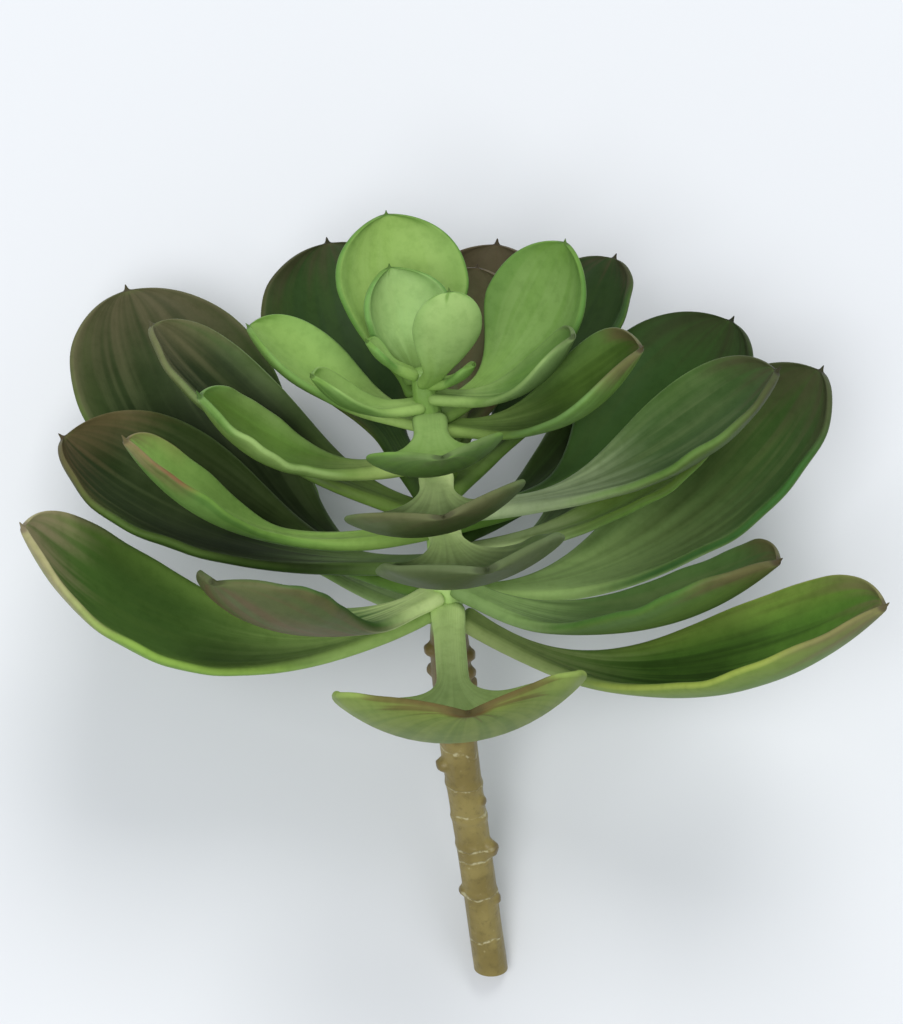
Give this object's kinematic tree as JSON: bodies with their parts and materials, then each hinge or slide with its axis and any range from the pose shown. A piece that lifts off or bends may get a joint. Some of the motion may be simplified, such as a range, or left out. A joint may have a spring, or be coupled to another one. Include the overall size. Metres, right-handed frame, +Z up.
{
  "type": "succulent rosette",
  "caption": "Echeveria picked with a length of bare woody stem and laid on its back: spoon-shaped fleshy leaves in tiers round the stem, dark below and bright at the heart.",
  "frame": {"origin": "middle of the outline seen from above, on the surface that the plant lies on", "axes": "+Z up from the surface; the stem runs from its cut end at -Y, resting on the surface, up towards the heart at +Y; +X is the right as seen from above with the stem towards the viewer"},
  "size_m": [0.2702, 0.2426, 0.1927],
  "materials": {
    "stem": "satin",
    "low_leaf": "waxy",
    "middle_leaf": "waxy",
    "back_leaf": "waxy",
    "upper_leaf": "waxy",
    "heart_leaf": "waxy"
  },
  "bodies": {
    "root": {"stem": "stem", "low_leaf_1": "low_leaf", "low_leaf_2": "low_leaf", "low_leaf_3": "low_leaf", "low_leaf_4": "low_leaf", "low_leaf_5": "low_leaf", "low_leaf_6": "low_leaf", "low_leaf_7": "low_leaf", "low_leaf_8": "low_leaf", "middle_leaf_1": "middle_leaf", "middle_leaf_2": "middle_leaf", "middle_leaf_3": "middle_leaf", "middle_leaf_4": "middle_leaf", "middle_leaf_5": "middle_leaf", "middle_leaf_6": "middle_leaf", "middle_leaf_7": "middle_leaf", "middle_leaf_8": "middle_leaf", "middle_leaf_9": "middle_leaf", "middle_leaf_10": "middle_leaf", "back_leaf_1": "back_leaf", "back_leaf_2": "back_leaf", "back_leaf_3": "back_leaf", "back_leaf_4": "back_leaf", "upper_leaf_1": "upper_leaf", "upper_leaf_2": "upper_leaf", "upper_leaf_3": "upper_leaf", "upper_leaf_4": "upper_leaf", "upper_leaf_5": "upper_leaf", "upper_leaf_6": "upper_leaf", "upper_leaf_7": "upper_leaf", "upper_leaf_8": "upper_leaf", "heart_leaf_1": "heart_leaf", "heart_leaf_2": "heart_leaf", "heart_leaf_3": "heart_leaf", "heart_leaf_4": "heart_leaf"}
  },
  "joints": []
}
